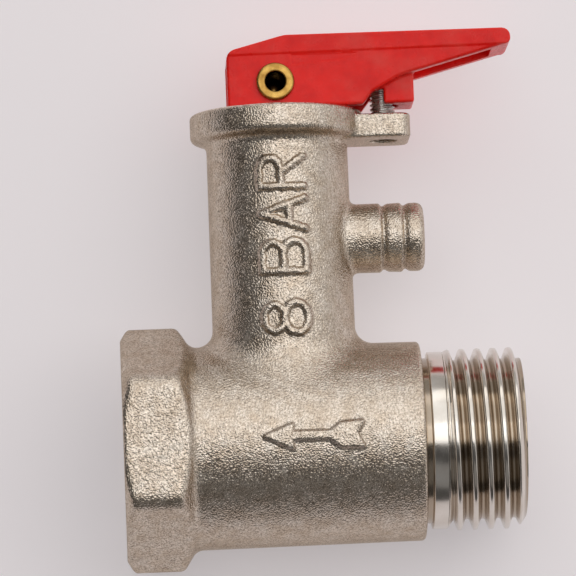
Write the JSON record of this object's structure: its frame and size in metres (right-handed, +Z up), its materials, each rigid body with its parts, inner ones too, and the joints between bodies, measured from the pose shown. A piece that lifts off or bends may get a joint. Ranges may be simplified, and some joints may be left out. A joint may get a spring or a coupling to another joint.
{
  "type": "pressure relief valve",
  "caption": "Water heater safety valve: hex female port, male inlet with non-return cartridge, spring relief tower, drain barb and lift lever.",
  "frame": {"origin": "centre of the hexagonal female port's end face, on the pipe axis", "axes": "+X along the pipe from the heater port to the male inlet, +Z up the relief tower to the lever, -Y the side with the flow arrow"},
  "size_m": [0.0465, 0.025, 0.0616],
  "materials": {
    "nickel_body": "cast brass, shot-blasted and nickel plated, threads and end faces machined",
    "red_lever": "glossy moulded red plastic",
    "brass": "turned brass",
    "steel": "zinc-plated steel",
    "spring_steel": "drawn stainless wire",
    "white_plastic": "moulded acetal",
    "rubber": "black nitrile rubber"
  },
  "bodies": {
    "valve": {"valve_body": "nickel_body", "adjusting_plug": "brass", "thrust_washer": "steel", "stem_o_ring": "rubber", "check_housing": "white_plastic", "check_o_ring": "rubber", "check_guide": "white_plastic", "check_circlip": "spring_steel", "check_spring": "spring_steel"},
    "relief_stem": {"lift_stem": "brass", "relief_poppet": "brass", "relief_seal": "rubber", "seal_washer": "brass", "seal_screw": "steel", "lever_pin": "brass", "relief_spring": "spring_steel"},
    "lever": {"release_lever": "red_lever"},
    "lock_screw": {"lock_screw": "steel"},
    "check_valve": {"check_poppet": "white_plastic", "check_seal": "rubber"}
  },
  "joints": [
    {"name": "stem_lift", "type": "slide", "parent": "valve", "child": "relief_stem", "axis": [0, 0, 1], "range_m": [0, 0.00268], "stiffness_N_per_m": 8000, "springref_m": -0.004, "deforming": ["relief_spring"]},
    {"name": "lever_lift", "type": "hinge", "parent": "relief_stem", "child": "lever", "pos_m": [0.01903, 0, 0.0419], "axis": [0, -1, 0], "range_deg": [0, 90]},
    {"name": "lock_screw_travel", "type": "slide", "parent": "lever", "child": "lock_screw", "axis": [0, 0, 1], "range_m": [-0.0026, 0.011]},
    {"name": "check_open", "type": "slide", "parent": "valve", "child": "check_valve", "axis": [-1, 0, 0], "range_m": [0, 0.003], "stiffness_N_per_m": 100, "springref_m": -0.002, "deforming": ["check_spring"]}
  ],
  "couplings": [
    {"joint": "lever_lift", "follows": "stem_lift", "rad_per_m": 586.12}
  ]
}
